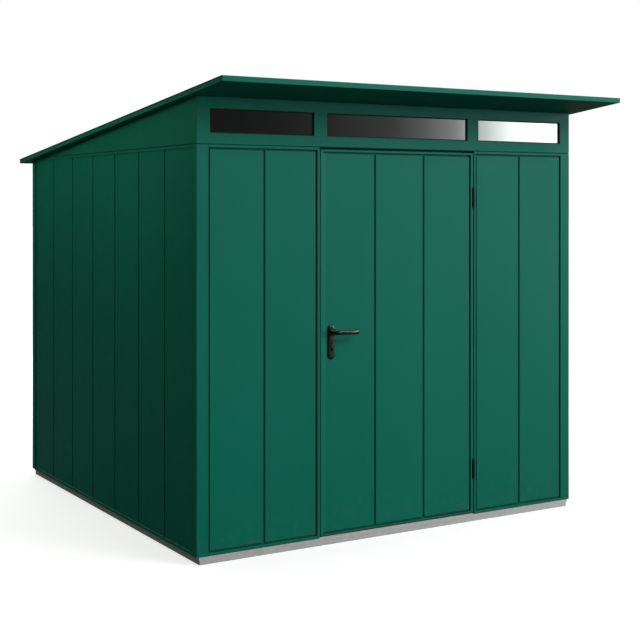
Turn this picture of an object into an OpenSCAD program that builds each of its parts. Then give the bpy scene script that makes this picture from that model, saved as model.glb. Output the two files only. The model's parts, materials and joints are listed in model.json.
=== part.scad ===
// Metal storage shed: pent roof, boarded steel walls, one hinged door, a band of three fixed panes.
// Millimetres. X to the right along the front, Y towards the back, Z up.
// The origin is on the ground, under the middle of the roof.

/* [Walls] */
// Width of the walls along the front
wall_w = 2340; // [2300:10:2600]
// Depth of the walls from front to back
wall_d = 2340; // [2100:10:2500]
// Height of the boarded part of the walls
wall_h = 1951; // [1900:1:2050]
// Thickness of a wall
wall_t = 28; // [24:1:34]
// Number of boards on a side wall
side_boards = 7; // [5:1:9]
// Number of boards on the back wall
back_boards = 7; // [5:1:9]
// Number of boards on each side of the door
front_boards = 2; // [1:1:3]

/* [Corner posts] */
// Width of a corner post seen from the front
post_w = 64; // [60:1:80]
// Width of a front corner post seen from the side
post_front_d = 42; // [36:1:60]
// Width of a back corner post seen from the side
post_back_d = 52; // [36:1:60]

/* [Boards] */
// Depth of the boards behind the frame strips
recess = 4; // [2:0.5:6]
// Width of the channel round a field of boards
channel_w = 8; // [6:0.5:10]
// Depth of the channel, from the face of the frame strips
channel_d = 11; // [8:0.5:14]
// Width of the joint between two boards of the front, at its mouth
joint_w = 15; // [9:0.5:17]
// Width of the joint between two boards of the sides and back, at its mouth
side_joint_w = 11; // [9:0.5:13]

/* [Base] */
// Height of the base frame
base_h = 38; // [30:1:60]
// Inset of the base frame from the faces of the side walls
base_inset = 18; // [8:1:24]
// Inset of the base frame from the faces of the front and back walls
base_inset_front = 5; // [3:1:20]
// Width of a base rail
base_rail_w = 40; // [36:1:60]

/* [Roof] */
// Slope of the roof, falling to the back, in degrees
roof_slope = 5.94; // [4:0.01:6]
// Height of the top of the roof at its front edge
roof_front_z = 2282; // [2280:1:2400]
// Thickness of the roof's edge
roof_edge = 27; // [24:1:36]
// Overhang at the front
over_front = 350; // [200:1:360]
// Overhang at the back
over_back = 114; // [60:1:160]
// Overhang at each side
over_side = 45; // [30:1:90]
// Number of ribs on the roof
roof_ribs = 7; // [3:1:9]

/* [Door] */
// Width of the door leaf
door_w = 965; // [865:5:985]
// Height of the door leaf
door_h = 1930; // [1880:1:1932]
// Gap at each side of the door leaf
door_gap = 5; // [5:0.5:7]
// Number of boards on the door
door_boards = 3; // [2:1:4]
// Height of the handle's axis above the ground
handle_z = 1063; // [950:1:1150]
// Distance of the handle's axis from the edge of the leaf
backset = 64; // [58:0.5:70]
// Length of the lever from its axis to its tip
lever_l = 138; // [120:1:150]

/* [Panes] */
// Height of a pane
pane_h = 117; // [90:0.5:120]
// Width of each side pane
pane_side_w = 579.5; // [400:0.5:585]
// Width of the middle pane
pane_mid_w = 888; // [700:1:910]
// Height of the band under the panes
pane_sill = 55; // [45:0.5:58]

/* [Hidden] */
$fn = 48;

green = [0.09, 0.36, 0.29];
dark_green = [0.05, 0.22, 0.17];
zinc = [0.62, 0.63, 0.62];
black = [0.06, 0.06, 0.07];

hw = wall_w / 2;
roof_d = over_front + wall_d + over_back;
yr0 = -roof_d / 2;             // front edge of the roof
yr1 = roof_d / 2;              // back edge of the roof
yf = yr0 + over_front;         // front face of the walls
yb = yf + wall_d;              // back face of the walls
xr = hw + over_side;           // side edge of the roof
z0 = base_h;                   // underside of the walls
z1 = base_h + wall_h;          // top of the boarded part
fascia_t = 30;
strip_top = 14;                // plain strip above a field of boards
strip_bot = 15;                // plain strip below a field of boards
field_ease = 24;               // how far the field of the door eases into the strip on its left
seam = 3;                      // shadow groove along the foot of the band and the gables
trim_w = 25;

slope_t = tan(roof_slope);
function roof_top(y) = roof_front_z - slope_t * (y - yr0);
function roof_under(y) = roof_top(y) - roof_edge;
function below_roof(y) = roof_under(y) - 0.1; // what stands under the roof ends just below it

// door leaf
dx = door_w / 2;               // half width of the leaf
jx = dx + door_gap;            // inner face of the door posts
jw = 14;                       // width of the door posts' front strip
wx = jx + jw;                  // where the front walls begin
dz0 = z0 + 11;                 // underside of the leaf
dz1 = dz0 + door_h;            // top of the leaf
leaf_t = 20;                   // thickness of the boarded leaf
inner_t = 18;                  // thickness of the frame behind it
door_t = leaf_t + inner_t;
stop_y = door_t + 6;           // front of the stop behind the leaf
stop_t = 18;
stop_w = 17;
lock_x = -dx + backset;        // axis of the handle

// hinges
pin_x = dx + door_gap / 2;
pin_y = -1.5;
pin_r = 2.5;
pin_gap = 0.05;
barrel_r = 5.5;
hinge_h = 100;
knuckle = hinge_h / 5;
hinge_zs = [z0 + 1651, z0 + 194];
hinge_relief = 9;

// handle
plate_w = 42;
plate_h = 172;
plate_t = 8;
plate_below = 135;             // from the handle's axis down to the plate's end
neck_r = 9;
spindle_r = 4;
lever_out = 52;                // from the plate's foot to the lever's middle
key_drop = 72;

// everything that lies below the roof
module under_roof() {
  rotate([90, 0, 90]) translate([0, 0, -2000]) linear_extrude(4000)
    polygon([[yr0, -10], [yr1, -10], [yr1, below_roof(yr1)], [yr0, below_roof(yr0)]]);
}

// a slab with a recessed field of n boards; its face is at y = 0 and it is t thick;
// without the left channel the field eases into the strip on the left
module boarded(w, h, t, ml, mr, mb, mt, n, left_channel = true, top_channel = true, joint = joint_w) {
  a = ml + channel_w / 2;
  pitch = (w - mr - channel_w / 2 - a) / n;
  fh = h - mb - mt;
  difference() {
    cube([w, t, h]);
    if (left_channel) {
      translate([ml, -1, mb]) cube([w - ml - mr, recess + 1, fh]);
      translate([ml, -1, mb]) cube([channel_w, channel_d + 1, fh]);
    }
    else translate([0, 0, mb]) linear_extrude(fh)
      polygon([[ml, -1], [w - mr, -1], [w - mr, recess], [ml + field_ease, recess], [ml, 0]]);
    translate([w - mr - channel_w, -1, mb]) cube([channel_w, channel_d + 1, fh]);
    if (top_channel) {
      translate([ml, -1, mb]) cube([w - ml - mr, channel_d + 1, channel_w]);
      translate([ml, -1, h - mt - channel_w]) cube([w - ml - mr, channel_d + 1, channel_w]);
    }
    if (n > 1) for (i = [1 : n - 1])
      translate([a + i * pitch, 0, mb]) linear_extrude(fh)
        polygon([[-joint / 2, recess - 1], [joint / 2, recess - 1], [joint / 2, recess],
                 [joint / 3, channel_d], [-joint / 3, channel_d], [-joint / 2, recess]]);
  }
}

// a prism that follows the roof's slope from y0 for a length l; its section is a child in X and Z
module along_slope(x, y0, l, dz) {
  translate([x, y0, roof_top(y0) + dz]) rotate([-roof_slope, 0, 0]) rotate([90, 0, 0])
    mirror([0, 0, 1]) linear_extrude(l) children();
}

// ---- base ----
module base_rail_front() color(zinc)
  translate([-hw + base_inset, yf + base_inset_front, 0]) cube([wall_w - 2 * base_inset, base_rail_w, base_h]);
module base_rail_back() color(zinc)
  translate([-hw + base_inset, yb - base_inset_front - base_rail_w, 0])
    cube([wall_w - 2 * base_inset, base_rail_w, base_h]);
module base_rail_side(s) color(zinc)
  translate([s < 0 ? -hw + base_inset : hw - base_inset - base_rail_w, yf + base_inset_front + base_rail_w, 0])
    cube([base_rail_w, wall_d - 2 * (base_inset_front + base_rail_w), base_h]);
module floor_panel() color(zinc)
  translate([-hw + base_inset + base_rail_w, yf + base_inset_front + base_rail_w, 0])
    cube([wall_w - 2 * (base_inset + base_rail_w), wall_d - 2 * (base_inset_front + base_rail_w), base_h - 2]);

// ---- walls ----
module corner_post(sx, back) color(green) {
  d = back ? post_back_d : post_front_d;
  intersection() {
    translate([sx < 0 ? -hw : hw - post_w, back ? yb - d : yf, z0]) cube([post_w, d, wall_h]);
    under_roof();
  }
}
module front_wall(s) color(green) {
  w = hw - post_w - wx;
  translate([s < 0 ? -hw + post_w : wx, yf, z0])
    boarded(w, wall_h, wall_t, 0, 0, strip_bot, strip_top, front_boards);
}
module side_wall(s) color(green) {
  w = wall_d - post_front_d - post_back_d;
  intersection() {
    if (s < 0) translate([-hw, yb - post_back_d, z0]) rotate([0, 0, -90])
      boarded(w, wall_h, wall_t, 0, 0, strip_bot, strip_top, side_boards, true, false, side_joint_w);
    else translate([hw, yf + post_front_d, z0]) rotate([0, 0, 90])
      boarded(w, wall_h, wall_t, 0, 0, strip_bot, strip_top, side_boards, true, false, side_joint_w);
    under_roof();
  }
}
module back_wall() color(green)
  intersection() {
    translate([hw - post_w, yb, z0]) rotate([0, 0, 180])
      boarded(wall_w - 2 * post_w, wall_h, wall_t, 0, 0, strip_bot, strip_top + wall_h - (below_roof(yb) - z0), back_boards,
              true, false, side_joint_w);
    under_roof();
  }
module gable(s) color(green) {
  ye = yr0 + (roof_front_z - roof_edge - 0.1 - z1) / slope_t;
  difference() {
    gable_slab(s, ye);
    translate([s < 0 ? -hw - 1 : hw - seam, yf - 1, z1 - 1]) cube([seam + 1, wall_d, seam + 1]);
  }
}
module gable_slab(s, ye)
  intersection() {
    translate([s < 0 ? -hw : hw - fascia_t, 0, 0]) rotate([90, 0, 90]) linear_extrude(fascia_t)
      polygon([[yf, z1], [ye, z1], [yf, below_roof(yf)]]);
    translate([0, 0, z1 - 5]) linear_extrude(600)
      polygon(s < 0 ? [[-hw, yf], [-hw + fascia_t, yf + fascia_t], [-hw + fascia_t, yb], [-hw, yb]]
                    : [[hw, yf], [hw, yb], [hw - fascia_t, yb], [hw - fascia_t, yf + fascia_t]]);
  }

// ---- band with the panes ----
pane_x = [-hw + 70.5, -pane_mid_w / 2, hw - 70.5 - pane_side_w];
pane_w = [pane_side_w, pane_mid_w, pane_side_w];
pz0 = z1 + pane_sill;
rebate = 8;
glass_y = yf + 11;
glass_t = 5;
module window_fascia() color(green)
  difference() {
    intersection() {
      rotate([90, 0, 90]) translate([0, 0, -hw]) linear_extrude(wall_w)
        polygon([[yf + seam, z1], [yf + fascia_t, z1], [yf + fascia_t, below_roof(yf + fascia_t)],
                 [yf, below_roof(yf)], [yf, z1 + seam], [yf + seam, z1 + seam]]);
      translate([0, 0, z1 - 5]) linear_extrude(600)
        polygon([[-hw, yf], [hw, yf], [hw - fascia_t, yf + fascia_t], [-hw + fascia_t, yf + fascia_t]]);
    }
    for (i = [0 : 2]) {
      translate([pane_x[i], yf - 5, pz0]) cube([pane_w[i], fascia_t + 10, pane_h]);
      translate([pane_x[i] - rebate, glass_y, pz0 - rebate]) cube([pane_w[i] + 2 * rebate, fascia_t, pane_h + 2 * rebate]);
    }
  }
module window_pane(i) color([0.25, 0.3, 0.3, 0.8])
  translate([pane_x[i] - rebate, glass_y, pz0 - rebate]) cube([pane_w[i] + 2 * rebate, glass_t, pane_h + 2 * rebate]);

// ---- door frame ----
module hinge_notch(side) {
  // room for the barrel in the edge of the leaf (-1) or of the post (1)
  for (z = hinge_zs) translate([side < 0 ? pin_x - hinge_relief : pin_x - 1, yf - 1, z - 3])
    cube([hinge_relief + 1, 9, hinge_h + 6]);
}
module door_post(s) color(green)
  difference() {
    union() {
      translate([s < 0 ? -wx : jx, yf, z0]) cube([jw, stop_y + stop_t, wall_h]);
      translate([s < 0 ? -jx : jx - stop_w, yf + stop_y, z0]) cube([stop_w, stop_t, wall_h]);
    }
    if (s > 0) hinge_notch(1);
  }
module door_head() color(green)
  union() {
    translate([-wx, yf + fascia_t, z1]) cube([2 * wx, stop_y + stop_t - fascia_t, pane_sill - rebate - 4]);
    translate([-jx + stop_w, yf + stop_y, z1 - 30]) cube([2 * (jx - stop_w), stop_t, 31]);
  }
module door_sill() color(zinc)
  union() {
    translate([-jx, yf + 3, z0]) cube([2 * jx, stop_y - 3, 5]);
    translate([-jx + stop_w, yf + stop_y, z0]) cube([2 * (jx - stop_w), stop_t, 22]);
  }

// ---- roof ----
module roof_deck() color(dark_green)
  union() {
    rotate([90, 0, 90]) translate([0, 0, -xr + trim_w]) linear_extrude(2 * (xr - trim_w))
      polygon([[yr0 + trim_w, roof_under(yr0 + trim_w)], [yr1 - trim_w, roof_under(yr1 - trim_w)],
               [yr1 - trim_w, roof_top(yr1 - trim_w) - 10], [yr0 + trim_w, roof_top(yr0 + trim_w) - 10]]);
    for (i = [0 : roof_ribs - 1])
      along_slope(-xr + (i + 0.5) * 2 * xr / roof_ribs, yr0 + 120, (roof_d - 160) / cos(roof_slope), -12)
        polygon([[-22, 0], [22, 0], [14, 10], [-14, 10]]);
  }
// a trim along the front or the back, with its outer top edge eased
module roof_trim_front() color(green)
  rotate([90, 0, 90]) translate([0, 0, -xr]) linear_extrude(2 * xr)
    polygon([[yr0, roof_under(yr0)], [yr0 + trim_w, roof_under(yr0 + trim_w)],
             [yr0 + trim_w, roof_top(yr0 + trim_w)], [yr0 + 3, roof_top(yr0 + 3)], [yr0, roof_top(yr0) - 3]]);
module roof_trim_back() color(green)
  rotate([90, 0, 90]) translate([0, 0, -xr + trim_w]) linear_extrude(2 * (xr - trim_w))
    polygon([[yr1, roof_under(yr1)], [yr1 - trim_w, roof_under(yr1 - trim_w)],
             [yr1 - trim_w, roof_top(yr1 - trim_w) - 10], [yr1, roof_top(yr1) - 10]]);
module roof_trim_side(s) color(green)
  rotate([90, 0, 90]) translate([0, 0, s < 0 ? -xr : xr - trim_w]) linear_extrude(trim_w)
    polygon([[yr0 + trim_w, roof_under(yr0 + trim_w)], [yr1, roof_under(yr1)],
             [yr1, roof_top(yr1)], [yr0 + trim_w, roof_top(yr0 + trim_w)]]);
module roof_beam(s) color(zinc)
  rotate([90, 0, 90]) translate([0, 0, s * 400 - 20]) linear_extrude(40)
    polygon([[yf + fascia_t, below_roof(yf + fascia_t) - 50], [yf + fascia_t, below_roof(yf + fascia_t)],
             [yb - wall_t, below_roof(yb - wall_t)], [yb - wall_t, below_roof(yb - wall_t) - 50]]);

// ---- door ----
leaf_edge = 16.7;
module door_leaf() color(green)
  difference() {
    translate([-dx, yf, dz0]) boarded(door_w, door_h, leaf_t, leaf_edge, leaf_edge, 8, 12, door_boards, false);
    hinge_notch(-1);
    translate([lock_x, yf - 5, handle_z]) rotate([-90, 0, 0]) cylinder(r = neck_r + 1, h = leaf_t + 10);
  }
stile_w = 50;
lock_stile_w = 105;
lock_w = 92;
lock_h = 190;
lock_z0 = handle_z - 125;
rail_h = 70;
module door_stile_hinge_side() color(green)
  translate([dx - stile_w, yf + leaf_t, dz0]) cube([stile_w, inner_t, door_h]);
module door_stile_lock_side() color(green)
  difference() {
    translate([-dx, yf + leaf_t, dz0]) cube([lock_stile_w, inner_t, door_h]);
    translate([-dx - 1, yf + leaf_t - 1, lock_z0]) cube([lock_w + 1, inner_t - 2, lock_h]);
    translate([lock_x, yf, handle_z]) rotate([-90, 0, 0]) cylinder(r = neck_r + 1, h = 60);
  }
module door_rail(z, h) color(green)
  translate([-dx + lock_stile_w, yf + leaf_t, z]) cube([door_w - stile_w - lock_stile_w, inner_t, h]);

// ---- hinges ----
module hinge_half(z, door_side) color(black) {
  // knuckles 0, 2, 4 and the pin belong to the frame, knuckles 1 and 3 to the door
  ks = door_side ? [1, 3] : [0, 2, 4];
  px = door_side ? dx : jx - 2;
  translate([0, yf, z]) {
    translate([px, 5, 0]) cube([2, 31, hinge_h]);
    for (k = ks) difference() {
      union() {
        translate([pin_x, pin_y, k * knuckle + 0.2]) cylinder(r = barrel_r, h = knuckle - 0.4);
        translate([px, pin_y, k * knuckle + 0.2]) cube([2, 5 - pin_y + 1, knuckle - 0.4]);
      }
      if (door_side) translate([pin_x, pin_y, -1]) cylinder(r = pin_r + pin_gap, h = hinge_h + 2);
    }
    if (!door_side) translate([pin_x, pin_y, 1]) cylinder(r = pin_r, h = hinge_h - 2);
  }
}

// ---- lock and handle ----
module lock_case() color(zinc)
  difference() {
    union() {
      translate([-dx + 3, yf + leaf_t, lock_z0 + 1]) cube([lock_w - 4, inner_t - 3, lock_h - 2]);
      translate([-dx, yf + leaf_t, lock_z0 + 0.5]) cube([3, inner_t - 3, lock_h - 1]);
    }
    translate([lock_x, yf, handle_z]) rotate([-90, 0, 0]) cylinder(r = spindle_r + 0.4, h = 60);
  }
module long_plate(w, h, t) {
  // a plate with round ends, standing on y = 0 and reaching to y = -t
  rotate([90, 0, 0]) linear_extrude(t) union() {
    translate([-w / 2, w / 2]) square([w, h - w]);
    translate([0, w / 2]) circle(d = w);
    translate([0, h - w / 2]) circle(d = w);
  }
}
module key_slot(t) {
  rotate([90, 0, 0]) linear_extrude(t) union() {
    translate([-5, 5]) square([10, 18]);
    translate([0, 5]) circle(r = 5);
    translate([0, 23]) circle(r = 8.5);
  }
}
module handle_plate() {
  difference() {
    translate([0, 0, -plate_below]) long_plate(plate_w, plate_h, plate_t);
    translate([0, 1, 0]) rotate([90, 0, 0]) cylinder(r = neck_r + 0.4, h = plate_t + 2);
    translate([0, -plate_t + 3, -key_drop - 23]) key_slot(6);
  }
}
module handle_plate_outside() color(black)
  translate([lock_x, yf + recess, handle_z]) handle_plate();
module handle_plate_inside() color(black)
  translate([lock_x, yf + door_t, handle_z]) rotate([0, 0, 180]) mirror([1, 0, 0]) handle_plate();
module lever(l) {
  // neck along -y from y = 0, then the lever towards +x
  rotate([90, 0, 0]) cylinder(r = neck_r, h = lever_out);
  translate([0, -lever_out, 0]) sphere(r = neck_r);
  translate([0, -lever_out, 0]) rotate([0, 90, 0]) cylinder(r = neck_r, h = l - neck_r);
  translate([l - neck_r, -lever_out, 0]) sphere(r = neck_r);
}
module lever_handles() color(black) {
  translate([lock_x, yf + recess - 1, handle_z]) lever(lever_l);
  translate([lock_x, yf + door_t + 1, handle_z]) mirror([0, 1, 0]) lever(lever_l);
  translate([lock_x, yf + recess - 1, handle_z]) rotate([-90, 0, 0]) cylinder(r = spindle_r, h = door_t - recess + 2);
}

base_rail_front();
base_rail_back();
base_rail_side(-1);  // base_rail_left
base_rail_side(1);  // base_rail_right
floor_panel();  // floor
corner_post(-1, false);  // corner_post_front_left
corner_post(1, false);  // corner_post_front_right
corner_post(-1, true);  // corner_post_back_left
corner_post(1, true);  // corner_post_back_right
front_wall(-1);  // front_wall_left
front_wall(1);  // front_wall_right
door_post(-1);  // door_post_left
door_post(1);  // door_post_right
door_head();
door_sill();
side_wall(-1);  // left_wall
side_wall(1);  // right_wall
back_wall();
gable(-1);  // left_gable
gable(1);  // right_gable
window_fascia();
window_pane(0);  // window_left
window_pane(1);  // window_middle
window_pane(2);  // window_right
roof_deck();
roof_trim_front();
roof_trim_back();
roof_trim_side(-1);  // roof_trim_left
roof_trim_side(1);  // roof_trim_right
roof_beam(-1);  // roof_beam_left
roof_beam(1);  // roof_beam_right
door_leaf();
door_stile_hinge_side();
door_stile_lock_side();
door_rail(dz1 - rail_h, rail_h);  // door_rail_top
door_rail(handle_z - 75, rail_h);  // door_rail_middle
door_rail(dz0, rail_h);  // door_rail_bottom
hinge_half(hinge_zs[0], false);  // hinge_upper_frame_half
hinge_half(hinge_zs[1], false);  // hinge_lower_frame_half
hinge_half(hinge_zs[0], true);  // hinge_upper_door_half
hinge_half(hinge_zs[1], true);  // hinge_lower_door_half
lock_case();
handle_plate_outside();
handle_plate_inside();
lever_handles();
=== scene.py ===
import json
import math
import random
import bpy
import bmesh
from mathutils import Vector, Matrix


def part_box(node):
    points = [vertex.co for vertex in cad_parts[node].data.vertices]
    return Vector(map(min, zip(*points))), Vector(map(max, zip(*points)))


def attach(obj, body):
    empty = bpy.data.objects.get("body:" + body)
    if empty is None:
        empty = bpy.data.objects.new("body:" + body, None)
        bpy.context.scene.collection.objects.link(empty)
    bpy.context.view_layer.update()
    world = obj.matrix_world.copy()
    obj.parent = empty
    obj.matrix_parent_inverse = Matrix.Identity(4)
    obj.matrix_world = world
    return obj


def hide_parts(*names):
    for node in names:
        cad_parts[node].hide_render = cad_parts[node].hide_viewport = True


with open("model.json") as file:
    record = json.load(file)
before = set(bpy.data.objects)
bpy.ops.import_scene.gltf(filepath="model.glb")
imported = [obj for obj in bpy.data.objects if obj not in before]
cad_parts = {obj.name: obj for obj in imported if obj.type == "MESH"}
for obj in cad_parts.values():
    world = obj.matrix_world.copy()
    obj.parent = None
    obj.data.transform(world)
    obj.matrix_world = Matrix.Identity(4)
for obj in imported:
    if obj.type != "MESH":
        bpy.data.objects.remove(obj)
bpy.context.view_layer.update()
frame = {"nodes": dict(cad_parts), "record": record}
random.seed(11)
scene = bpy.context.scene
NODES = frame["nodes"]

# ---------------------------------------------------------------- places, from the CAD
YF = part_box("front_wall_left")[0].y          # face of the front wall
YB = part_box("back_wall")[1].y
HW = -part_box("left_wall")[0].x               # half width of the walls
Z0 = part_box("front_wall_left")[0].z          # underside of the walls
Z1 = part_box("front_wall_left")[1].z          # top of the boarded part
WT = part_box("front_wall_left")[1].y - YF     # thickness of a wall
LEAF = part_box("door_leaf")
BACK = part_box("door_stile_hinge_side")[1].y  # back of the door's frame
POST_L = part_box("door_post_left")
POST_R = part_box("door_post_right")
GLASS = [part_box("window_" + s) for s in ("left", "middle", "right")]
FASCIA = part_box("window_fascia")
FLOOR_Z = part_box("floor")[1].z
RAIL_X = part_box("base_rail_right")[1].x         # faces of the base rails
RAIL_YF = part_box("base_rail_front")[0].y
RAIL_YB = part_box("base_rail_back")[1].y
PLATE_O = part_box("handle_plate_outside")
PLATE_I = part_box("handle_plate_inside")
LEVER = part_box("lever_handles")
YR0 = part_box("roof_trim_front")[0].y
YR1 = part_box("roof_trim_back")[1].y
XR = -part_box("roof_trim_front")[0].x
ROOF_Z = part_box("roof_trim_front")[1].z
_v = [v.co for v in NODES["roof_trim_left"].data.vertices]
_f = max((v for v in _v if v.y < YR0 + 0.05), key=lambda v: v.z)
_b = max((v for v in _v if v.y > YR1 - 0.01), key=lambda v: v.z)
SLOPE = (_f.z - _b.z) / (_b.y - _f.y)


def roof_top(y):
    return _f.z - SLOPE * (y - _f.y)


def roof_under(y):
    return roof_top(y) - 0.027


# ---------------------------------------------------------------- camera
cam_data = bpy.data.cameras.new("camera")
cam = bpy.data.objects.new("camera", cam_data)
scene.collection.objects.link(cam)
scene.camera = cam
cam.location = (-HW - 2.6175, YF - 5.3219, Z0 + 1.6733)
cam.rotation_euler = (math.radians(90), 0, math.radians(-30.455))
cam_data.sensor_width = 36
cam_data.lens = 1256.09 / 640 * 36
cam_data.shift_x = (320 - 290.2) / 640
cam_data.shift_y = (202.97 - 320) / 640
cam_data.clip_start, cam_data.clip_end = 0.1, 200

scene.view_settings.view_transform = "Standard"
scene.view_settings.look = "None"
scene.view_settings.exposure = 0
scene.view_settings.gamma = 1


# ---------------------------------------------------------------- materials
def srgb(r, g, b):
    def f(c):
        c /= 255
        return c / 12.92 if c <= 0.04045 else ((c + 0.055) / 1.055) ** 2.4
    return (f(r), f(g), f(b), 1)


def mul(c, k):
    return tuple(min(1, x * k) for x in c[:3]) + (1,)


def grey(v):
    return (v, v, v, 1)


class Mat:
    """A Principled material with a few short ways to add nodes."""

    def __init__(self, name):
        self.m = bpy.data.materials.new(name)
        self.m.use_nodes = True
        self.nt = self.m.node_tree
        for n in list(self.nt.nodes):
            self.nt.nodes.remove(n)
        out = self.nt.nodes.new("ShaderNodeOutputMaterial")
        self.b = self.nt.nodes.new("ShaderNodeBsdfPrincipled")
        self.nt.links.new(self.b.outputs[0], out.inputs[0])
        self.out = out
        self.tc = self.nt.nodes.new("ShaderNodeTexCoord")

    def node(self, kind, **kw):
        n = self.nt.nodes.new(kind)
        for k, v in kw.items():
            setattr(n, k, v)
        return n

    def link(self, a, b):
        self.nt.links.new(a, b)

    def coord(self, scale=(1, 1, 1)):
        mp = self.node("ShaderNodeMapping")
        mp.inputs["Scale"].default_value = scale
        self.link(self.tc.outputs["Object"], mp.inputs["Vector"])
        return mp.outputs["Vector"]

    def noise(self, scale, detail=4, rough=0.5, vec=None):
        n = self.node("ShaderNodeTexNoise")
        n.inputs["Scale"].default_value = scale
        n.inputs["Detail"].default_value = detail
        n.inputs["Roughness"].default_value = rough
        self.link(vec or self.coord(), n.inputs["Vector"])
        return n.outputs["Fac"]

    def ramp(self, fac, stops):
        r = self.node("ShaderNodeValToRGB")
        cr = r.color_ramp
        while len(cr.elements) > 1:
            cr.elements.remove(cr.elements[-1])
        cr.elements[0].position = stops[0][0]
        cr.elements[0].color = stops[0][1]
        for p, c in stops[1:]:
            e = cr.elements.new(p)
            e.color = c
        self.link(fac, r.inputs[0])
        return r.outputs[0]

    def range(self, fac, a, b, c, d):
        n = self.node("ShaderNodeMapRange")
        n.inputs["From Min"].default_value = a
        n.inputs["From Max"].default_value = b
        n.inputs["To Min"].default_value = c
        n.inputs["To Max"].default_value = d
        self.link(fac, n.inputs["Value"])
        return n.outputs[0]

    def math(self, op, a, b):
        n = self.node("ShaderNodeMath", operation=op)
        for i, v in enumerate((a, b)):
            if isinstance(v, (int, float)):
                n.inputs[i].default_value = v
            else:
                self.link(v, n.inputs[i])
        return n.outputs[0]

    def mix(self, fac, a, b, kind="MIX"):
        n = self.node("ShaderNodeMix", data_type="RGBA", blend_type=kind)
        for i, v in ((0, fac), (6, a), (7, b)):
            if isinstance(v, (int, float)):
                n.inputs[i].default_value = v
            elif isinstance(v, tuple):
                n.inputs[i].default_value = v
            else:
                self.link(v, n.inputs[i])
        return n.outputs[2]

    def bump(self, height, strength, distance, before=None):
        n = self.node("ShaderNodeBump")
        n.inputs["Strength"].default_value = strength
        n.inputs["Distance"].default_value = distance
        self.link(height, n.inputs["Height"])
        if before:
            self.link(before, n.inputs["Normal"])
        return n.outputs[0]

    def edge(self, radius):
        """1 on a rounded outer or inner edge, 0 on the flats."""
        bv = self.node("ShaderNodeBevel", samples=4)
        bv.inputs["Radius"].default_value = radius
        ge = self.node("ShaderNodeNewGeometry")
        d = self.node("ShaderNodeVectorMath", operation="DOT_PRODUCT")
        self.link(bv.outputs[0], d.inputs[0])
        self.link(ge.outputs["True Normal"], d.inputs[1])
        return self.range(d.outputs["Value"], 0.995, 0.75, 0, 1)

    def hollow(self, distance):
        """0 deep in a groove, 1 in the open."""
        ao = self.node("ShaderNodeAmbientOcclusion", samples=6, only_local=False)
        ao.inputs["Distance"].default_value = distance
        return ao.outputs["AO"]


def paint(name, rgb, rough=0.45, vary=0.05, spec=0.07, dust=True):
    """Baked coating on steel sheet: slight tone drift, fine orange peel, uneven gloss, painted shade in the grooves,
    edges a touch paler from wear and a painted highlight.
    """
    m = Mat(name)
    c = srgb(*rgb)
    col = m.ramp(m.noise(0.8, 3, 0.55), [(0.3, mul(c, 1 - vary)), (0.7, mul(c, 1 + vary))])
    streak = m.noise(5, 4, 0.6, m.coord((1, 1, 0.08)))
    col = m.mix(m.range(streak, 0.45, 0.8, 0, 0.10), col, mul(c, 0.72))
    # painted shade: the colour darkens deep in grooves and corners
    ao = m.hollow(0.018)
    col = m.mix(m.range(ao, 0.30, 0.85, 0.88, 0.0), col, mul(c, 0.16))
    # edges a touch paler: random wear, together with a painted highlight along them
    edge = m.edge(0.003)
    worn = m.math("MULTIPLY", edge, m.range(m.noise(38, 4, 0.7), 0.35, 0.65, 0.05, 0.38))
    col = m.mix(worn, col, mul((c[0] + 0.02, c[1], c[2], 1), 1.7))
    if dust:
        sep = m.node("ShaderNodeSeparateXYZ")
        m.link(m.tc.outputs["Object"], sep.inputs[0])
        low = m.range(sep.outputs["Z"], 0.04, 0.32, 1, 0)
        spots = m.range(m.noise(22, 6, 0.7), 0.5, 0.75, 0, 1)
        col = m.mix(m.math("MULTIPLY", m.math("MULTIPLY", low, spots), 0.10), col, srgb(120, 122, 112))
    m.link(col, m.b.inputs["Base Color"])
    r = m.range(m.noise(12, 5, 0.6), 0.3, 0.7, rough - 0.04, rough + 0.05)
    m.link(m.math("ADD", r, m.math("MULTIPLY", edge, 0.08)), m.b.inputs["Roughness"])
    n1 = m.bump(m.noise(520, 2, 0.5), 0.16, 0.0004)
    n2 = m.bump(m.noise(2.2, 2, 0.4), 0.25, 0.004, n1)
    m.link(n2, m.b.inputs["Normal"])
    m.b.inputs["Specular IOR Level"].default_value = spec
    return m.m


def zinc(name, rgb, rough=0.42, scale=60, metal=0.7, cells=0.12):
    """Hot-dip zinc: small cells of crystal flower, dull grey, with faint runs, painted shade in the hollows and a
    painted highlight on the edges.
    """
    m = Mat(name)
    c = srgb(*rgb)
    v = m.node("ShaderNodeTexVoronoi")
    v.inputs["Scale"].default_value = scale
    m.link(m.coord(), v.inputs["Vector"])
    bw = m.node("ShaderNodeRGBToBW")
    m.link(v.outputs["Color"], bw.inputs[0])
    col = m.ramp(bw.outputs[0], [(0.15, mul(c, 1 - cells)), (0.85, mul(c, 1 + cells))])
    col = m.mix(m.range(m.noise(4, 5, 0.6), 0.4, 0.8, 0, 0.35), col, mul(c, 0.8))
    # painted shade: darker in hollows, under the walls and where parts meet
    ao = m.hollow(0.02)
    col = m.mix(m.range(ao, 0.25, 0.75, 0.35, 0.0), col, mul(c, 0.4))
    # painted highlight: every edge a little paler
    edge = m.edge(0.002)
    col = m.mix(m.math("MULTIPLY", edge, 0.3), col, mul(c, 1.3))
    m.link(col, m.b.inputs["Base Color"])
    m.link(m.range(bw.outputs[0], 0, 1, rough - 0.06, rough + 0.10), m.b.inputs["Roughness"])
    m.link(m.bump(m.noise(260, 3, 0.5), 0.18, 0.0004), m.b.inputs["Normal"])
    m.b.inputs["Metallic"].default_value = metal
    return m.m


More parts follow.
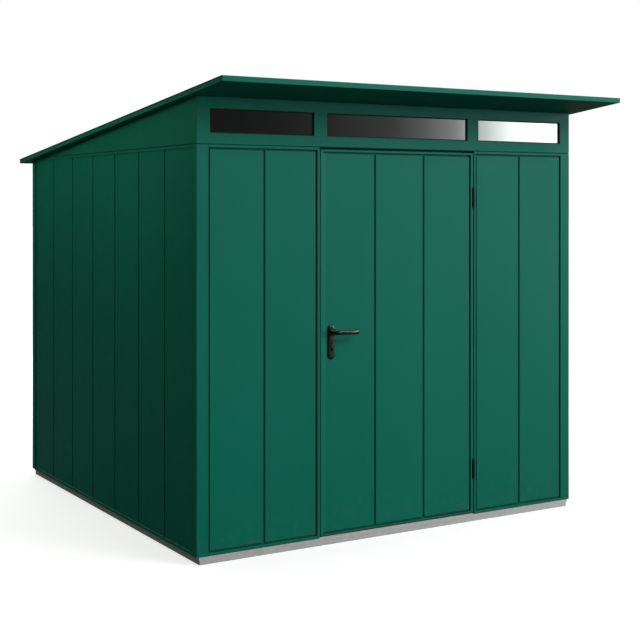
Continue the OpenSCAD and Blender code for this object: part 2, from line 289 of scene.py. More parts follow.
def black(name, rgb=(20, 20, 22), rough=0.3, grain=900, spec=0.5, worn=0.25):
    """Black coated metal or moulded plastic: fine grain, handled edges a little paler."""
    m = Mat(name)
    c = srgb(*rgb)
    n = m.noise(45, 4, 0.6)
    col = m.ramp(n, [(0.3, mul(c, 0.8)), (0.7, mul(c, 1.25))])
    edge = m.edge(0.0012)
    col = m.mix(m.math("MULTIPLY", edge, worn), col, mul(c, 3.2))
    m.link(col, m.b.inputs["Base Color"])
    m.link(m.range(n, 0.3, 0.7, rough - 0.05, rough + 0.08), m.b.inputs["Roughness"])
    m.link(m.bump(m.noise(grain, 2, 0.5), 0.12, 0.0003), m.b.inputs["Normal"])
    m.b.inputs["Specular IOR Level"].default_value = spec
    return m.m


def brushed(name, rgb, rough=0.3):
    m = Mat(name)
    c = srgb(*rgb)
    n = m.noise(220, 4, 0.6, m.coord((1, 1, 0.04)))
    m.link(m.ramp(n, [(0.3, mul(c, 0.85)), (0.7, mul(c, 1.1))]), m.b.inputs["Base Color"])
    m.link(m.range(n, 0.3, 0.7, rough - 0.07, rough + 0.12), m.b.inputs["Roughness"])
    m.link(m.bump(n, 0.12, 0.0003), m.b.inputs["Normal"])
    m.b.inputs["Metallic"].default_value = 1.0
    return m.m


def smoked(name):
    """Dark acrylic sheet, glossy, with painted shade making it darker towards its edges."""
    m = Mat(name)
    n = m.noise(5, 4, 0.5)
    col = m.ramp(n, [(0.3, srgb(15, 17, 17)), (0.7, srgb(20, 22, 22))])
    # painted shade where the gaskets and beads close round the pane
    ao = m.hollow(0.03)
    col = m.mix(m.range(ao, 0.5, 0.95, 0.5, 0), col, srgb(8, 12, 11))
    m.link(col, m.b.inputs["Base Color"])
    m.link(m.range(m.noise(18, 6, 0.6), 0.3, 0.75, 0.02, 0.07), m.b.inputs["Roughness"])
    m.link(m.bump(m.noise(3, 1, 0.3), 0.04, 0.001), m.b.inputs["Normal"])
    m.b.inputs["IOR"].default_value = 1.6
    m.b.inputs["Specular IOR Level"].default_value = 0.75
    m.b.inputs["Specular Tint"].default_value = (0.86, 1.0, 0.95, 1)
    m.b.inputs["Coat Weight"].default_value = 1.0
    m.b.inputs["Coat Roughness"].default_value = 0.02
    return m.m


GREEN = paint("wall_paint", (5, 99, 81))
DOOR_GREEN = paint("door_paint", (6, 100, 82))
ROOF_GREEN = paint("roof_paint", (6, 97, 78), dust=False)
ZINC = zinc("galvanised", (182, 184, 182), 0.5, 90, 0.35, 0.06)
FLOOR_ZINC = zinc("floor_steel", (188, 190, 189), 0.5, 60, 0.3, 0.10)
BLACK = black("black_handle", (13, 12, 14), 0.27, 900, 0.42, 0.12)
# near-black matte for the openings of the key cylinders and the striker: painted shade
HOLE_SHADE = black("key_slot", (2, 2, 2), 0.8, 900, 0.02, 0.0)
HINGE = black("hinge_steel", (8, 16, 14), 0.4, 700, 0.3)
STEEL = brushed("lock_steel", (196, 196, 194))
RUBBER = black("rubber", (9, 9, 9), 0.6, 1400, 0.25, 0.1)
PANE = smoked("pane")

SLOT = {"wall_paint": GREEN, "door_paint": DOOR_GREEN, "roof_paint": ROOF_GREEN, "galvanised": ZINC,
        "floor_steel": FLOOR_ZINC, "pane": PANE, "hinge_steel": HINGE, "lock_steel": STEEL, "black_handle": BLACK}
BEVEL = {"wall_paint": 0.0018, "door_paint": 0.0018, "roof_paint": 0.002, "galvanised": 0.0015, "floor_steel": 0.001,
         "hinge_steel": 0.0006, "lock_steel": 0.0005, "black_handle": 0.0018}


def smooth_group():
    g = bpy.data.node_groups.new("shade_smooth", "GeometryNodeTree")
    g.interface.new_socket("Geometry", in_out="INPUT", socket_type="NodeSocketGeometry")
    g.interface.new_socket("Geometry", in_out="OUTPUT", socket_type="NodeSocketGeometry")
    i = g.nodes.new("NodeGroupInput")
    o = g.nodes.new("NodeGroupOutput")
    s = g.nodes.new("GeometryNodeSetShadeSmooth")
    g.links.new(i.outputs[0], s.inputs[0])
    g.links.new(s.outputs[0], o.inputs[0])
    return g


SMOOTH = smooth_group()


def soften(o, width, segments=3, weld=True, angle=28):
    if weld:
        w = o.modifiers.new("weld", "WELD")
        w.merge_threshold = 0.00005
    bv = o.modifiers.new("bevel", "BEVEL")
    bv.width = width
    bv.segments = segments
    bv.limit_method = "ANGLE"
    bv.angle_limit = math.radians(angle)
    bv.use_clamp_overlap = True
    s = o.modifiers.new("smooth", "NODES")
    s.node_group = SMOOTH
    wn = o.modifiers.new("weighted", "WEIGHTED_NORMAL")
    wn.mode = "FACE_AREA"
    wn.weight = 100
    wn.keep_sharp = False


for sp in frame["record"]["subparts"]:
    o = NODES[sp["node"]]
    slot = sp["material_slot"]
    o.data.materials.clear()
    o.data.materials.append(SLOT[slot])
    if slot in BEVEL:
        soften(o, BEVEL[slot])


# ---------------------------------------------------------------- mesh helpers
class Piece:
    """One new piece, built from closed solids in one bmesh, in the row frame."""

    def __init__(self):
        self.bm = bmesh.new()

    def loops(self, rings, cap=True, closed=False):
        """Joins rings of points (all of one length) into a closed skin."""
        bm = self.bm
        vs = [[bm.verts.new(p) for p in ring] for ring in rings]
        n = len(vs[0])
        k = len(vs)
        for j in range(k if closed else k - 1):
            a, b = vs[j], vs[(j + 1) % k]
            for i in range(n):
                bm.faces.new((a[i], a[(i + 1) % n], b[(i + 1) % n], b[i]))
        if cap and not closed:
            bm.faces.new(list(reversed(vs[0])))
            bm.faces.new(vs[-1])
        return vs

    def block(self, lo, hi):
        x0, y0, z0 = lo
        x1, y1, z1 = hi
        self.loops([[(x0, y0, z0), (x1, y0, z0), (x1, y1, z0), (x0, y1, z0)], [(x0, y0, z1), (x1, y0, z1), (x1, y1, z1), (x0, y1, z1)]])

    def prism(self, pts, a, b, axis):
        """A flat outline pts pushed from a to b along axis; pts are (u, v) in the other two axes, in x, y, z order."""
        def at(u, v, w):
            return {"x": (w, u, v), "y": (u, w, v), "z": (u, v, w)}[axis]
        self.loops([[at(u, v, a) for u, v in pts], [at(u, v, b) for u, v in pts]])

    def lathe(self, pos, normal, prof, seg=20, squash=1.0, spin=0.0):
        """A turned solid on pos along normal; prof is a list of (radius, height), first and last on the axis or capped."""
        q = Vector(normal).to_track_quat("Z", "Y").to_matrix().to_4x4()
        mt = Matrix.Translation(Vector(pos)) @ q
        rings = []
        tips = []
        for r, h in prof:
            if r <= 1e-7:
                tips.append((len(rings), mt @ Vector((0, 0, h))))
                continue
            rings.append([mt @ Vector((r * math.cos(spin + 2 * math.pi * i / seg), r * squash * math.sin(spin + 2 * math.pi * i / seg), h)) for i in range(seg)])
        bm = self.bm
        vs = [[bm.verts.new(p) for p in ring] for ring in rings]
        for j in range(len(vs) - 1):
            a, b = vs[j], vs[j + 1]
            for i in range(seg):
                bm.faces.new((a[i], a[(i + 1) % seg], b[(i + 1) % seg], b[i]))
        first = [t for t in tips if t[0] == 0]
        last = [t for t in tips if t[0] == len(rings)]
        if first:
            t = bm.verts.new(first[0][1])
            for i in range(seg):
                bm.faces.new((t, vs[0][(i + 1) % seg], vs[0][i]))
        else:
            bm.faces.new(list(reversed(vs[0])))
        if last:
            t = bm.verts.new(last[0][1])
            for i in range(seg):
                bm.faces.new((t, vs[-1][i], vs[-1][(i + 1) % seg]))
        else:
            bm.faces.new(vs[-1])

    def pan_screw(self, pos, normal, r=0.0045, h=0.0022):
        """A pan head with a square drive sunk into it."""
        self.lathe(pos, normal, [(r * 0.98, -0.0006), (r, 0.0002), (r * 0.97, h * 0.45), (r * 0.82, h * 0.82), (r * 0.55, h)], 18)
        self.lathe(Vector(pos) + Vector(normal) * (h - 0.0001), normal, [(r * 0.42, 0), (r * 0.42, 0.00025), (r * 0.28, -0.0002), (0, -0.0002)], 4, spin=0.6)

    def hex_screw(self, pos, normal, r=0.0095, washer=True, spin=0.0):
        """A hexagon head on a pressed flange and a sealing washer."""
        if washer:
            self.lathe(pos, normal, [(r * 0.95, -0.0008), (r, 0.0004), (r * 0.98, 0.0018), (r * 0.86, 0.0026), (r * 0.6, 0.0028)], 24)
        self.lathe(pos, normal, [(r * 0.62, 0.0020), (r * 0.62, 0.0036), (r * 0.50, 0.0042)], 24)
        self.lathe(pos, normal, [(r * 0.46, 0.0038), (r * 0.46, 0.0078), (r * 0.40, 0.0084)], 6, spin=spin)

    def frame(self, x0, x1, z0, z1, prof, sy=1):
        """A mitred frame round a rectangle in X and Z. prof is a closed outline of (inset, y)."""
        rings = []
        for cx, cz, ix, iz in ((x0, z0, 1, 1), (x1, z0, -1, 1), (x1, z1, -1, -1), (x0, z1, 1, -1)):
            rings.append([(cx + ix * u, y, cz + iz * u) for u, y in prof])
        self.loops(rings, cap=False, closed=True)

    def done(self, name, material, slot, body, flat=False, bevel=0, subsurf=0, angle=35, segments=2):
        bm = self.bm
        bmesh.ops.recalc_face_normals(bm, faces=bm.faces)
        me = bpy.data.meshes.new(name)
        bm.to_mesh(me)
        bm.free()
        ob = bpy.data.objects.new(name, me)
        scene.collection.objects.link(ob)
        me.materials.append(material)
        if subsurf:
            ss = ob.modifiers.new("sub", "SUBSURF")
            ss.levels = ss.render_levels = subsurf
        if bevel:
            bv = ob.modifiers.new("bevel", "BEVEL")
            bv.width = bevel
            bv.segments = segments
            bv.limit_method = "ANGLE"
            bv.angle_limit = math.radians(angle)
            bv.use_clamp_overlap = True
        if not flat:
            for p in me.polygons:
                p.use_smooth = True
            if bevel or not subsurf:
                wn = ob.modifiers.new("weighted", "WEIGHTED_NORMAL")
                wn.mode = "FACE_AREA"
                wn.weight = 100
                wn.keep_sharp = False
        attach(ob, body)
        return ob


def section(ring_n, a, b, power=2.4):
    """Points of a rounded section with half widths a and b, as (u, v)."""
    pts = []
    for i in range(ring_n):
        t = 2 * math.pi * i / ring_n
        c, s = math.cos(t), math.sin(t)
        pts.append((a * math.copysign(abs(c) ** (2 / power), c), b * math.copysign(abs(s) ** (2 / power), s)))
    return pts


def mm(*v):
    return tuple(x / 1000 for x in v)


# ---------------------------------------------------------------- panes: outer gaskets and inner beads
gy = GLASS[0][0].y                       # outer face of the glass
gb = GLASS[0][1].y                       # inner face
RB = 0.008                               # the rebate round each pane
IN = YF + 0.030                          # inner face of the band
for i, name in enumerate(("left", "middle", "right")):
    lo, hi = GLASS[i]
    x0, x1, z0, z1 = lo.x + RB, hi.x - RB, lo.z + RB, hi.z - RB
    p = Piece()
    p.frame(x0, x1, z0, z1, [(-0.0005, gy - 0.0002), (0.0045, gy - 0.0002), (0.0052, gy - 0.0012), (0.0046, gy - 0.0026),
                             (0.0030, gy - 0.0036), (0.0010, gy - 0.0040), (-0.0005, gy - 0.0036)])
    p.done("window_gasket_" + name, RUBBER, "seal_rubber", "shed")
    p = Piece()
    p.frame(x0, x1, z0, z1, [(-RB + 0.0004, gb + 0.0002), (0.0030, gb + 0.0002), (0.0030, gb + 0.0060), (0.0012, gb + 0.0080),
                             (0.0012, IN - 0.002), (0.0002, IN + 0.0012), (-0.0150, IN + 0.0012), (-0.0150, IN + 0.0001), (-RB + 0.0004, IN + 0.0001)])
    n = 4 if i != 1 else 6
    for k in range(n):
        x = x0 + (k + 0.5) * (x1 - x0) / n
        for z in (z0 - 0.0095, z1 + 0.0095):
            p.pan_screw((x, IN + 0.0012, z), (0, 1, 0), 0.0030, 0.0016)
    p.done("window_bead_" + name, GREEN, "wall_paint", "shed")

# ---------------------------------------------------------------- lever handle: turned neck, oval grip, on both sides
lx = PLATE_O[0].x + (PLATE_O[1].x - PLATE_O[0].x) / 2
lz = (LEVER[0].z + LEVER[1].z) / 2
tip = LEVER[1].x
out_o = LEVER[0].y + 0.009
out_i = LEVER[1].y - 0.009


def lever(p, y_foot, y_mid, s):
    """s is -1 for the outside and +1 for the inside."""
    n = 28
    rings = []
    r0 = 0.0085
    path = []
    # out of the plate, round the elbow, then along the grip
    for y in (y_foot, y_foot + s * 0.010, y_foot + s * 0.022, y_mid - s * 0.024):
        path.append((lx, y, (0, s), r0, r0, 2.0))
    bend = 0.017
    for k in range(1, 10):
        t = math.pi / 2 * k / 10
        cx, cy = lx + bend, y_mid - s * bend
        path.append((cx - bend * math.cos(t), cy + s * bend * math.sin(t), (math.sin(t), s * math.cos(t)),
                     r0 + (0.0072 - r0) * k / 10, r0 + (0.0100 - r0) * k / 10, 2.0 + 0.5 * k / 10))
    g0 = lx + bend
    g1 = tip - 0.010
    steps = 12
    for k in range(steps + 1):
        f = k / steps
        x = g0 + (g1 - g0) * f
        bow = 0.0026 * math.sin(math.pi * f)
        back = 0.0030 * max(0, (f - 0.7) / 0.3) ** 2
        path.append((x, y_mid + s * (bow - back), (1, 0), 0.0072 - 0.0008 * f, 0.0100 + 0.0022 * f, 2.5))
    end = path[-1]
    for k in range(1, 6):
        t = math.pi / 2 * k / 5.5
        path.append((g1 + 0.0098 * math.sin(t), end[1], (1, 0), end[3] * math.cos(t), end[4] * math.cos(t) ** 0.7, 2.5))
    for x, y, (tx, ty), a, b, pw in path:
        nx, ny = -ty, tx
        rings.append([(x + nx * u, y + ny * u, lz + v) for u, v in section(n, a, b, pw)])
    p.loops(rings)
    # collar at the foot of the neck
    p.lathe((lx, y_foot + s * 0.0002, lz), (0, s, 0), [(0.0125, -0.002), (0.0132, 0.0008), (0.0130, 0.0028), (0.0118, 0.0042), (0.0098, 0.0048)], 32)


p = Piece()
lever(p, PLATE_O[0].y - 0.0004, out_o, -1)
lever(p, PLATE_I[1].y + 0.0004, out_i, 1)
# the square spindle through the lock
p.prism([(lx - 0.004, lz - 0.004), (lx + 0.004, lz - 0.004), (lx + 0.004, lz + 0.004), (lx - 0.004, lz + 0.004)], PLATE_O[0].y - 0.002, PLATE_I[1].y + 0.002, "y")
hl = p.done("lever_pair", BLACK, "black_handle", "handle")
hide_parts("lever_handles")


# ---------------------------------------------------------------- plates: crowned, with a key cylinder
def crowned_plate(name, box, s):
    """A long plate with round ends and a soft edge. s is the side it faces."""
    lo, hi = box
    w2 = (hi.x - lo.x) / 2
    cx = (hi.x + lo.x) / 2
    t = hi.y - lo.y
    foot = hi.y if s < 0 else lo.y
    p = Piece()
    n = 20

    def outline(inset):
        r = w2 - inset
        pts = []
        for k in range(n + 1):
            a = math.pi * k / n
            pts.append((cx + r * math.cos(a), hi.z - w2 + r * math.sin(a)))
        for k in range(n + 1):
            a = math.pi + math.pi * k / n
            pts.append((cx + r * math.cos(a), lo.z + w2 + r * math.sin(a)))
        return pts
    prof = [(0.0, 0.0), (0.0, t * 0.30), (0.0004, t * 0.50), (0.0016, t * 0.70), (0.0036, t * 0.86), (0.0066, t * 0.95), (0.0105, t * 0.99), (0.0145, t)]
    rings = [[(x, foot + s * h, z) for x, z in outline(i)] for i, h in prof]
    p.loops(rings)
    return p


key_z = lz - 0.0795


def key_hole(p, y_face, s, r_top=0.0085, r_bot=0.0048, half=0.0158):
    """The outline of a profile cylinder: a round top and a narrower foot."""
    pts = []
    for k in range(17):
        a = -0.9 + (math.pi + 1.8) * k / 16
        pts.append((lx + r_top * math.cos(a), key_z + half - r_top + r_top * math.sin(a)))
    for k in range(9):
        a = math.pi + math.pi * k / 8
        pts.append((lx + r_bot * math.cos(a), key_z - half + r_bot + r_bot * math.sin(a)))
    p.loops([[(x, y_face - s * 0.003, z) for x, z in pts], [(x, y_face, z) for x, z in pts]])


for side, box, s in (("outside", PLATE_O, -1), ("inside", PLATE_I, 1)):
    p = crowned_plate("handle_plate_" + side, box, s)
    face = box[0].y if s < 0 else box[1].y
    if s > 0:
        for z in (box[1].z - 0.014, box[0].z + 0.014):
            p.lathe((lx, face - 0.0004, z), (0, s, 0), [(0.0042, -0.002), (0.0042, 0.0006), (0.0034, 0.0010), (0.0018, 0.0010), (0.0018, -0.0002), (0, -0.0002)], 20)
    ob = p.done("crowned_plate_" + side, BLACK, "black_handle", "door")
    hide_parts("handle_plate_" + side)
    # near-black keyhole outline round the plug: painted shade of the cylinder's opening
    p = Piece()
    key_hole(p, face + s * 0.0006, s)
    p.done("key_cylinder_hole_shade_" + side, HOLE_SHADE, "black_handle", "door", bevel=0.0004)
    p = Piece()
    p.lathe((lx, face + s * 0.0006, key_z + 0.0073), (0, s, 0), [(0.0066, -0.002), (0.0066, 0.0004), (0.0062, 0.0008), (0.0050, 0.0008)], 28)
    p.done("key_cylinder_plug_" + side, HINGE, "hinge_steel", "door")
    # a thin near-black blade on the plug: painted shadow of the keyway
    p = Piece()
    yk = face + s * 0.0014
    p.block((lx - 0.0009, min(yk, yk + s * 0.0002), key_z + 0.0030), (lx + 0.0009, max(yk, yk + s * 0.0002), key_z + 0.0116))
    p.done("key_way_shadow_" + side, RUBBER, "seal_rubber", "door", bevel=0.0002)

# ---------------------------------------------------------------- lock edge: latch, bolt, screws, and the striker on the frame
ex = LEAF[0].x
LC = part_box("lock_case")
yc = (LC[0].y + LC[1].y) / 2
p = Piece()
zm = (LC[0].z + LC[1].z) / 2
for z in (LC[0].z + 0.012, LC[1].z - 0.012):
    p.lathe((ex, yc, z), (-1, 0, 0), [(0.0038, -0.001), (0.0038, 0.0003), (0.0030, 0.0006), (0.0014, 0.0006), (0.0014, -0.0002), (0, -0.0002)], 18)
p.prism([(yc - 0.006, lz + 0.010), (yc + 0.006, lz + 0.010), (yc + 0.006, lz + 0.030), (yc - 0.006, lz + 0.030)], ex - 0.0012, ex + 0.002, "x")
p.prism([(yc - 0.0055, key_z - 0.012), (yc + 0.0055, key_z - 0.012), (yc + 0.0055, key_z + 0.016), (yc - 0.0055, key_z + 0.016)], ex - 0.0008, ex + 0.002, "x")
p.done("lock_bolts", STEEL, "lock_steel", "door", bevel=0.0004)
px = -(POST_R[0].x + 0.017)
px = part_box("door_post_left")[0].x + 0.014     # face of the post towards the leaf
p = Piece()
sy0, sy1 = yc - 0.010, yc + 0.010
zs = [zm - 0.085, key_z - 0.016, key_z + 0.020, lz + 0.006, lz + 0.034, zm + 0.085]
p.block((px - 0.001, sy0, zs[0]), (px + 0.0009, sy1, zs[1]))
p.block((px - 0.001, sy0, zs[2]), (px + 0.0009, sy1, zs[3]))
p.block((px - 0.001, sy0, zs[4]), (px + 0.0009, sy1, zs[5]))
for a, b in ((zs[1], zs[2]), (zs[3], zs[4])):
    p.block((px - 0.001, sy0, a - 0.0001), (px + 0.0009, sy0 + 0.0035, b + 0.0001))
    p.block((px - 0.001, sy1 - 0.0035, a - 0.0001), (px + 0.0009, sy1, b + 0.0001))
for z in (zs[0] + 0.012, zs[5] - 0.012):
    p.lathe((px + 0.0009, yc, z), (1, 0, 0), [(0.0036, -0.001), (0.0036, 0.0002), (0.0028, 0.0005), (0.0014, 0.0005), (0.0014, -0.0002), (0, -0.0002)], 18)
p.done("strike_plate", STEEL, "lock_steel", "shed", bevel=0.0003)
# near-black blocks in the latch and bolt openings of the striker: painted shade
p = Piece()
for a, b in ((zs[1], zs[2]), (zs[3], zs[4])):
    p.block((px - 0.0008, sy0 + 0.0034, a), (px + 0.0002, sy1 - 0.0034, b))
p.done("strike_pocket_shade", HOLE_SHADE, "hinge_steel", "shed", bevel=0.0002)

# ---------------------------------------------------------------- hinges: domed pin heads, screws in both leaves
for where in ("upper", "lower"):
    lo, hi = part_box("hinge_%s_frame_half" % where)
    dlo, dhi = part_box("hinge_%s_door_half" % where)
    pin_x, pin_y = 0.485, YF - 0.0015
    p = Piece()
    p.lathe((pin_x, pin_y, hi.z - 0.0002), (0, 0, 1), [(0.0052, -0.001), (0.0054, 0.0006), (0.0046, 0.0022), (0.0026, 0.0030), (0, 0.0032)], 28)
    p.lathe((pin_x, pin_y, lo.z + 0.0002), (0, 0, -1), [(0.0052, -0.001), (0.0054, 0.0006), (0.0046, 0.0022), (0.0026, 0.0030), (0, 0.0032)], 28)
    fx = POST_R[0].x + 0.017                    # the post's face towards the leaf
    for k, z in enumerate((0.18, 0.40, 0.60, 0.82)):
        zz = lo.z + z * (hi.z - lo.z)
        p.lathe((fx - 0.0020, YF + 0.013 + 0.014 * (k % 2), zz), (-1, 0, 0), [(0.0034, -0.0012), (0.0034, 0.0001), (0.0026, 0.0005), (0.0012, 0.0005), (0.0012, -0.0001), (0, -0.0001)], 16)
    p.done("hinge_%s_frame_fixings" % where, HINGE, "hinge_steel", "shed")
    p = Piece()
    for k, z in enumerate((0.18, 0.40, 0.60, 0.82)):
        zz = lo.z + z * (hi.z - lo.z)
        p.lathe((LEAF[1].x + 0.0020, YF + 0.013 + 0.014 * ((k + 1) % 2), zz), (1, 0, 0), [(0.0034, -0.0012), (0.0034, 0.0001), (0.0026, 0.0004), (0.0012, 0.0004), (0.0012, -0.0001), (0, -0.0001)], 16)
    p.done("hinge_%s_door_fixings" % where, HINGE, "hinge_steel", "door")

# ---------------------------------------------------------------- rubber seal on the stops
st_y = YF + 0.044
p = Piece()
seal = [(0.0, 0.0003), (0.0, -0.0014), (0.002, -0.0016), (0.0035, -0.0030), (0.0058, -0.0036), (0.0080, -0.0030), (0.0092, -0.0014), (0.011, -0.0012), (0.011, 0.0003)]
sxl = POST_L[1].x - 0.0125               # inner part of the left stop
sxr = POST_R[0].x + 0.0125
zt = Z1 - 0.022
rings = []
for cx, cz, ix, iz in ((sxl, Z0 + 0.026, 1, 0), (sxl, zt, 1, -1), (sxr, zt, -1, -1), (sxr, Z0 + 0.026, -1, 0)):
    rings.append([(cx - ix * 0.0 + ix * (u - 0.0), st_y + y, cz + iz * u) for u, y in seal])
p.loops(rings)
p.done("door_seal", RUBBER, "seal_rubber", "shed")

# ---------------------------------------------------------------- door: returns of the boards on the inside, and corner fixings of its frame
ST_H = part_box("door_stile_hinge_side")
ST_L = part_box("door_stile_lock_side")
RT, RM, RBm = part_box("door_rail_top"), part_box("door_rail_middle"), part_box("door_rail_bottom")
ly = LEAF[1].y
edge_w = 0.0167
a0 = LEAF[0].x + edge_w + 0.004
pitch = (LEAF[1].x - edge_w - 0.004 - a0) / 3
fold = [(-0.011, -0.0005), (-0.011, 0.0080), (-0.0095, 0.0105), (-0.0075, 0.0115), (-0.0012, 0.0115), (-0.0006, 0.0100),
        (0.0006, 0.0100), (0.0012, 0.0115), (0.0075, 0.0115), (0.0095, 0.0105), (0.011, 0.0080), (0.011, -0.0005)]
p = Piece()
for k in (1, 2):
    x = a0 + k * pitch
    for z_a, z_b in ((RBm[1].z + 0.0005, RM[0].z - 0.0005), (RM[1].z + 0.0005, RT[0].z - 0.0005)):
        p.prism([(x + u, ly + v) for u, v in fold], z_a, z_b, "z")
p.done("door_board_returns", DOOR_GREEN, "door_paint", "door", bevel=0.0006)
p = Piece()
for z in (RT[0].z + 0.018, RT[1].z - 0.018, RM[0].z + 0.018, RM[1].z - 0.018, RBm[0].z + 0.018, RBm[1].z - 0.018):
    for x in (ST_H[0].x + 0.012, ST_H[0].x - 0.014, ST_L[1].x - 0.012, ST_L[1].x + 0.014):
        if abs(z - lz) < 0.12 and x < 0:
            continue
        p.pan_screw((x, BACK, z), (0, 1, 0), 0.0048, 0.0022)
p.done("door_frame_rivets", STEEL, "lock_steel", "door")

# ---------------------------------------------------------------- inside of the walls: the boards' returns, hooked together, with rivets
flange = [(-0.012, -0.0006), (-0.012, 0.0145), (-0.0108, 0.0170), (-0.0085, 0.0180), (-0.0012, 0.0180), (-0.0005, 0.0155),
          (0.0006, 0.0155), (0.0012, 0.0180), (0.0060, 0.0180), (0.0078, 0.0170), (0.0085, 0.0150), (0.0085, -0.0006)]


def wall_top(y):
    return roof_under(y) - 0.0012


FZ = FLOOR_Z + 0.0005
for side, s in (("left", -1), ("right", 1)):
    lo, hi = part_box(side + "_wall")
    n = 7
    a = lo.y + 0.004
    pt = (hi.y - 0.004 - a) / n
    face = s * (HW - WT)
    p = Piece()
    for k in range(1, n):
        y = a + k * pt
        p.prism([(face - s * v, y + u) for u, v in flange], FZ, min(Z1 - 0.02, wall_top(y + 0.012)), "z")
    # a foot angle on the floor
    y_e = min(hi.y, YR0 + (ROOF_Z - 0.027 - Z1) / SLOPE)
    for za in (Z1 - 0.030,):
        prof = [(0, 0), (0, -0.0), ]
    ang = [(face + s * 0.0004, FLOOR_Z - 0.0004), (face - s * 0.030, FLOOR_Z - 0.0004), (face - s * 0.030, FLOOR_Z + 0.0022),
           (face - s * 0.0022, FLOOR_Z + 0.0022), (face - s * 0.0022, FLOOR_Z + 0.032), (face + s * 0.0004, FLOOR_Z + 0.032)]
    p.prism([(x, z) for x, z in ang], lo.y + 0.002, hi.y - 0.002, "y")
    p.done("%s_wall_board_returns" % side, GREEN, "wall_paint", "shed", bevel=0.0007)
lo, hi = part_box("back_wall")
n = 7
a = lo.x + 0.004
pt = (hi.x - 0.004 - a) / n
face = YB - WT
p = Piece()
for k in range(1, n):
    x = a + k * pt
    p.prism([(x + u, face - v) for u, v in flange], FZ, wall_top(face) - 0.0005, "z")
ang = [(face + 0.0004, FLOOR_Z - 0.0004), (face - 0.030, FLOOR_Z - 0.0004), (face - 0.030, FLOOR_Z + 0.0022),
       (face - 0.0022, FLOOR_Z + 0.0022), (face - 0.0022, FLOOR_Z + 0.032), (face + 0.0004, FLOOR_Z + 0.032)]
p.prism(ang, lo.x + 0.031, hi.x - 0.031, "x")
p.done("back_wall_board_returns", GREEN, "wall_paint", "shed", bevel=0.0007)
for side, s in (("left", -1), ("right", 1)):
    lo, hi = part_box("front_wall_" + side)
    a = lo.x + 0.004
    pt = (hi.x - 0.004 - a) / 2
    face = YF + WT
    p = Piece()
    p.prism([(a + pt + u, face + v) for u, v in flange], FZ, Z1 - 0.008, "z")
    ang = [(face - 0.0004, FLOOR_Z - 0.0004), (face + 0.030, FLOOR_Z - 0.0004), (face + 0.030, FLOOR_Z + 0.0022),
           (face + 0.0022, FLOOR_Z + 0.0022), (face + 0.0022, FLOOR_Z + 0.032), (face - 0.0004, FLOOR_Z + 0.032)]
    x0, x1 = (lo.x + 0.002, hi.x - 0.002)
    p.prism(ang, x0, x1, "x")
    p.done("front_%s_board_returns" % side, GREEN, "wall_paint", "shed", bevel=0.0007)

# fixings inside: screws along the foot angles
p = Piece()
z_f = FLOOR_Z + 0.018
for s in (-1, 1):
    x = s * (HW - WT - 0.0022)
    lo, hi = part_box("left_wall")
    for k in range(14):
        p.pan_screw((x, lo.y + (k + 0.5) * (hi.y - lo.y) / 14, z_f), (-s, 0, 0), 0.0042, 0.002)
for k in range(14):
    p.pan_screw((-1.06 + 2.12 * (k + 0.5) / 14, YB - WT - 0.0022, z_f), (0, -1, 0), 0.0042, 0.002)
for s in (-1, 1):
    for k in range(4):
        p.pan_screw((s * (0.56 + 0.5 * (k + 0.5) / 4), YF + WT + 0.0022, z_f), (0, 1, 0), 0.0042, 0.002)
p.done("inside_screws", STEEL, "lock_steel", "shed")

# ---------------------------------------------------------------- floor: pressed beads, side laps and screws
flo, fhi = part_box("floor")
p = Piece()
bead = [(-0.022, -0.0005), (-0.0205, 0.0004), (-0.016, 0.0014), (-0.008, 0.0019), (0.008, 0.0019), (0.016, 0.0014), (0.0205, 0.0004), (0.022, -0.0005)]
x_in = HW - WT - 0.045
nb = 14
for k in range(nb):
    x = -x_in + (k + 0.5) * 2 * x_in / nb
    p.prism([(x + u, FLOOR_Z + v) for u, v in bead], YF + 0.085, YB - WT - 0.045, "y")
for x in (-x_in / 3, x_in / 3):
    p.prism([(x - 0.012, FLOOR_Z - 0.0005), (x + 0.012, FLOOR_Z - 0.0005), (x + 0.012, FLOOR_Z + 0.0010), (x - 0.012, FLOOR_Z + 0.0010)], YF + 0.065, YB - WT - 0.032, "y")
p.done("floor_beads", FLOOR_ZINC, "floor_steel", "shed", bevel=0.0004)
p = Piece()
for x in (-x_in / 3, x_in / 3):
    for k in range(9):
        p.pan_screw((x, YF + 0.12 + k * (YB - WT - YF - 0.24) / 8, FLOOR_Z + 0.0010), (0, 0, 1), 0.0052, 0.0022)
p.done("floor_screws", STEEL, "lock_steel", "shed")

# ---------------------------------------------------------------- base: a folded drip strip along the top of the rails
p = Piece()
bx, by0, by1 = RAIL_X, RAIL_YF, RAIL_YB
drip = [(0.0002, 0), (-0.85, 0), (-0.97, -0.0008), (-1.0, -0.0020), (-1.0, -0.0122), (-0.94, -0.0134), (-0.85, -0.0134), (-0.79, -0.0122), (-0.79, -0.0034), (-0.70, -0.0026), (0.0002, -0.0026)]
drip_x, drip_y = 0.0040, 0.0025
rings = []
for cx, cy, ix, iy in ((-bx, by0, 1, 1), (bx, by0, -1, 1), (bx, by1, -1, -1), (-bx, by1, 1, -1)):
    rings.append([(cx + ix * u * (drip_x if u < 0 else 1), cy + iy * u * (drip_y if u < 0 else 1), Z0 - 0.0006 + v) for u, v in drip])
p.loops(rings, cap=False, closed=True)
p.done("base_drip_strip", ZINC, "galvanised", "shed", flat=True)

# a dark strip along the top edge of the side trims, where the roof sheet meets them: painted shade
p = Piece()
for s in (-1, 1):
    bead = [(0.0006, 0.0002), (0.0012, -0.0012), (0.0013, -0.0048), (0.0006, -0.0060), (-0.0004, -0.0060), (-0.0004, 0.0002)]
    p.loops([[(s * (XR + u), y, roof_top(y) + v - 0.0004) for u, v in bead] for y in (YR0 + 0.001, YR1 - 0.001)])
p.done("roof_edge_shade_strip", RUBBER, "seal_rubber", "shed", flat=True)

